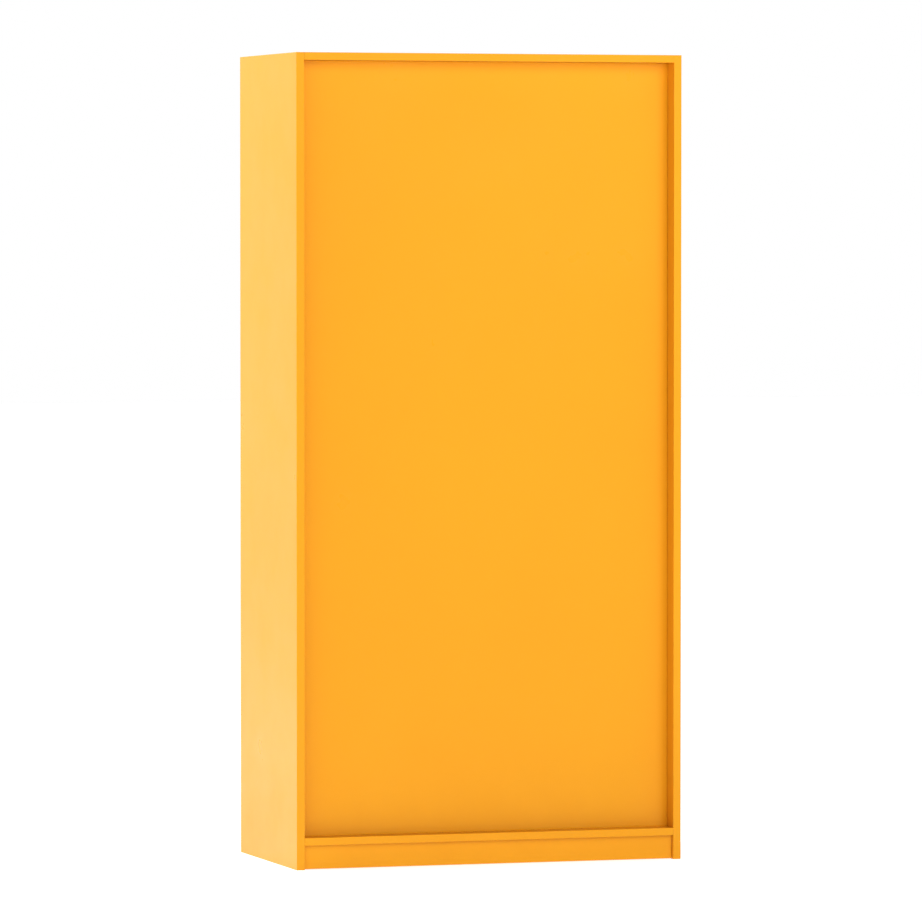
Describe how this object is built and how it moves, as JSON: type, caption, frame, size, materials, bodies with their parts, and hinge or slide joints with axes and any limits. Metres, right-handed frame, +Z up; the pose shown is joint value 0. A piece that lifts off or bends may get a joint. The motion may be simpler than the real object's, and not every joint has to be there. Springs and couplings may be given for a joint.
{
  "type": "newspaper vending box",
  "caption": "Tall folded-steel street box with a recessed plain back, a window door that tips down, a hinged storage door below, and a coin panel and cash drawer at the top.",
  "frame": {"origin": "on the ground at the centre of the shell's footprint, which is also the centre of the four anchor holes", "axes": "+Z up, the front faces -Y, the plain back faces +Y, +X to the right when seen from the front"},
  "size_m": [0.697, 0.395, 1.4],
  "materials": {
    "shell_paint": "satin powder coat",
    "zinc_plated_steel": "zinc plated",
    "galvanised_sheet": "galvanised, dull",
    "chrome": "polished",
    "stainless_cup": "brushed stainless",
    "lock_brass": "satin",
    "black_plastic": "fine texture",
    "black_rubber": "matt",
    "nylon": "natural",
    "clear_polycarbonate": "clear, gloss",
    "card_stock": "matt"
  },
  "bodies": {
    "cabinet": {"anchor_plates": "zinc_plated_steel", "button_bezel": "black_plastic", "card_window": "clear_polycarbonate", "cash_chute": "galvanised_sheet", "coin_chute": "galvanised_sheet", "coin_deck": "shell_paint", "coin_mech_frame": "zinc_plated_steel", "coin_mullion": "shell_paint", "coin_panel": "shell_paint", "coin_return_cup": "stainless_cup", "coin_slot_plate": "chrome", "deck_screws": "zinc_plated_steel", "door_stop_bolts": "zinc_plated_steel", "floor_pan": "shell_paint", "front_plinth": "shell_paint", "middle_deck": "shell_paint", "panel_fixings": "zinc_plated_steel", "paper_shelf": "galvanised_sheet", "rear_panel": "shell_paint", "rear_panel_stiffeners": "shell_paint", "rear_plinth": "shell_paint", "shelf_brackets": "galvanised_sheet", "shelf_uprights": "galvanised_sheet", "side_panel_left": "shell_paint", "side_panel_right": "shell_paint", "storage_door_seal": "black_rubber", "storage_hinge_pins": "zinc_plated_steel", "title_card": "card_stock", "top_panel": "shell_paint", "vault_cover": "galvanised_sheet", "vend_door_seal": "black_rubber", "vend_door_springs": "zinc_plated_steel", "vend_hinge_rod": "zinc_plated_steel"},
    "vend_door": {"vend_door_pan": "shell_paint", "window_gasket": "black_rubber", "vend_window": "clear_polycarbonate", "window_retainer": "galvanised_sheet", "window_fixings": "zinc_plated_steel", "vend_door_handle": "chrome", "handle_screws": "zinc_plated_steel", "display_band": "galvanised_sheet", "latch_striker": "zinc_plated_steel", "door_stop_arms": "zinc_plated_steel", "vend_hinge_bushes": "nylon"},
    "latch": {"latch_lever": "zinc_plated_steel"},
    "link": {"latch_link": "zinc_plated_steel"},
    "cradle": {"coin_cradle": "zinc_plated_steel"},
    "return_button": {"coin_return_button": "chrome"},
    "reject": {"reject_lever": "zinc_plated_steel"},
    "return_flap": {"coin_return_flap": "chrome"},
    "cash_drawer": {"cash_drawer_front": "shell_paint", "cash_drawer_box": "galvanised_sheet", "drawer_lock_body": "chrome"},
    "drawer_lock": {"drawer_lock_plug": "lock_brass", "drawer_lock_cam": "zinc_plated_steel"},
    "storage_door": {"storage_door_pan": "shell_paint", "storage_hinge_bushes": "nylon", "storage_lock_body": "chrome"},
    "storage_lock": {"storage_handle": "chrome", "storage_lock_cam": "zinc_plated_steel"}
  },
  "joints": [
    {"name": "vend_door_hinge", "type": "hinge", "parent": "cabinet", "child": "vend_door", "pos_m": [0, -0.167, 0.607], "axis": [1, 0, 0], "range_deg": [0, 70], "stiffness_Nm_per_rad": 22, "springref_deg": -17.19},
    {"name": "latch_pivot", "type": "hinge", "parent": "cabinet", "child": "latch", "pos_m": [0.0405, -0.055, 1.205], "axis": [1, 0, 0], "range_deg": [0, 10]},
    {"name": "link_travel", "type": "slide", "parent": "cabinet", "child": "link", "axis": [0, 0, 1], "range_m": [0, 0.0045]},
    {"name": "cradle_pivot", "type": "hinge", "parent": "cabinet", "child": "cradle", "pos_m": [0.09, -0.055, 1.296], "axis": [1, 0, 0], "range_deg": [-10, 0]},
    {"name": "return_button_slide", "type": "slide", "parent": "cabinet", "child": "return_button", "axis": [0, 1, 0], "range_m": [0, 0.005], "stiffness_N_per_m": 400, "springref_m": -0.004},
    {"name": "reject_pivot", "type": "hinge", "parent": "cabinet", "child": "reject", "pos_m": [0.09, -0.118, 1.365], "axis": [1, 0, 0], "range_deg": [0, 15]},
    {"name": "return_flap_hinge", "type": "hinge", "parent": "cabinet", "child": "return_flap", "pos_m": [0.125, -0.1732, 1.261], "axis": [1, 0, 0], "range_deg": [0, 60]},
    {"name": "cash_drawer_slide", "type": "slide", "parent": "cabinet", "child": "cash_drawer", "axis": [0, -1, 0], "range_m": [0, 0.21]},
    {"name": "drawer_lock_turn", "type": "hinge", "parent": "cash_drawer", "child": "drawer_lock", "pos_m": [0.26375, -0.167, 1.345], "axis": [0, 1, 0], "range_deg": [0, 90]},
    {"name": "storage_door_hinge", "type": "hinge", "parent": "cabinet", "child": "storage_door", "pos_m": [-0.3205, -0.167, 0.3175], "axis": [0, 0, -1], "range_deg": [0, 100]},
    {"name": "storage_lock_turn", "type": "hinge", "parent": "storage_door", "child": "storage_lock", "pos_m": [0.2905, -0.167, 0.3175], "axis": [0, -1, 0], "range_deg": [0, 90]}
  ],
  "couplings": [
    {"joint": "link_travel", "follows": "latch_pivot", "m_per_rad": 0.025},
    {"joint": "cradle_pivot", "follows": "latch_pivot", "ratio": -1},
    {"joint": "reject_pivot", "follows": "return_button_slide", "rad_per_m": 50}
  ]
}
